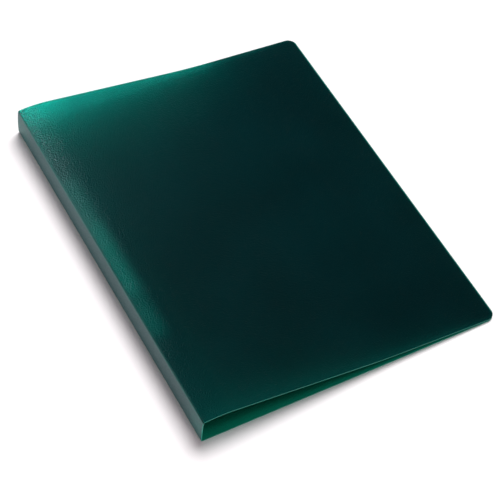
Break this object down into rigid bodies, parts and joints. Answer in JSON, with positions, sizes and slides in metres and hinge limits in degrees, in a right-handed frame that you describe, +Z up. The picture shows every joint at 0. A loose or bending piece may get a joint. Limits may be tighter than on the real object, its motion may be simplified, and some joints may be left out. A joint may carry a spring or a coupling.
{
  "type": "ring album",
  "caption": "Slim ring album: folded translucent plastic cover, flat spine, ring mechanism on the back cover, pocket-strip leaves on the rings.",
  "frame": {"origin": "middle of the closed album's underside, on the surface that it lies on", "axes": "+X from the spine to the fore-edge, +Y from foot to head, +Z up through the front cover"},
  "size_m": [0.252, 0.318, 0.0257],
  "materials": {
    "cover_sheet": "fine-grained translucent dark green polypropylene sheet",
    "nickel_steel": "bright nickel-plated steel",
    "carrier_steel": "plated steel strip",
    "rivet_nickel": "nickel-plated tubular rivet",
    "leaf_card": "matt black card",
    "clear_film": "clear glossy film"
  },
  "bodies": {
    "back": {"back_cover": "cover_sheet", "mechanism_shell": "nickel_steel", "rivet_foot": "rivet_nickel", "rivet_head": "rivet_nickel"},
    "spine": {"spine_panel": "cover_sheet"},
    "front": {"front_cover": "cover_sheet"},
    "ring_left": {"ring_carrier_left": "carrier_steel", "half_ring_left_foot": "nickel_steel", "half_ring_left_head": "nickel_steel"},
    "ring_right": {"ring_carrier_right": "carrier_steel", "half_ring_right_foot": "nickel_steel", "half_ring_right_head": "nickel_steel"},
    "leaf_1": {"stock_leaf_1": "leaf_card", "film_strips_1": "clear_film"},
    "leaf_2": {"stock_leaf_2": "leaf_card", "film_strips_2": "clear_film"},
    "leaf_3": {"stock_leaf_3": "leaf_card", "film_strips_3": "clear_film"}
  },
  "joints": [
    {"name": "front_cover_hinge", "type": "hinge", "parent": "spine", "child": "front", "pos_m": [-0.1252, 0, 0.0244], "axis": [0, -1, 0], "range_deg": [0, 100]},
    {"name": "spine_hinge", "type": "hinge", "parent": "back", "child": "spine", "pos_m": [-0.1252, 0, 0.0004], "axis": [0, -1, 0], "range_deg": [0, 85]},
    {"name": "ring_left_pivot", "type": "hinge", "parent": "back", "child": "ring_left", "pos_m": [-0.1114, 0, 0.00185], "axis": [0, -1, 0], "range_deg": [0, 10]},
    {"name": "ring_right_pivot", "type": "hinge", "parent": "back", "child": "ring_right", "pos_m": [-0.0996, 0, 0.00185], "axis": [0, 1, 0], "range_deg": [0, 10]},
    {"name": "leaf_1_turn", "type": "hinge", "parent": "back", "child": "leaf_1", "pos_m": [-0.1055, 0, 0.0122], "axis": [0, -1, 0], "range_deg": [0, 173]},
    {"name": "leaf_2_turn", "type": "hinge", "parent": "back", "child": "leaf_2", "pos_m": [-0.1055, 0, 0.0122], "axis": [0, -1, 0], "range_deg": [0, 174.5]},
    {"name": "leaf_3_turn", "type": "hinge", "parent": "back", "child": "leaf_3", "pos_m": [-0.1055, 0, 0.0122], "axis": [0, -1, 0], "range_deg": [0, 176]}
  ],
  "couplings": [
    {"joint": "spine_hinge", "follows": "front_cover_hinge", "ratio": 0.85},
    {"joint": "ring_right_pivot", "follows": "ring_left_pivot", "ratio": 1},
    {"joint": "leaf_1_turn", "follows": "front_cover_hinge", "ratio": 1.73},
    {"joint": "leaf_2_turn", "follows": "front_cover_hinge", "ratio": 1.745},
    {"joint": "leaf_3_turn", "follows": "front_cover_hinge", "ratio": 1.76}
  ]
}
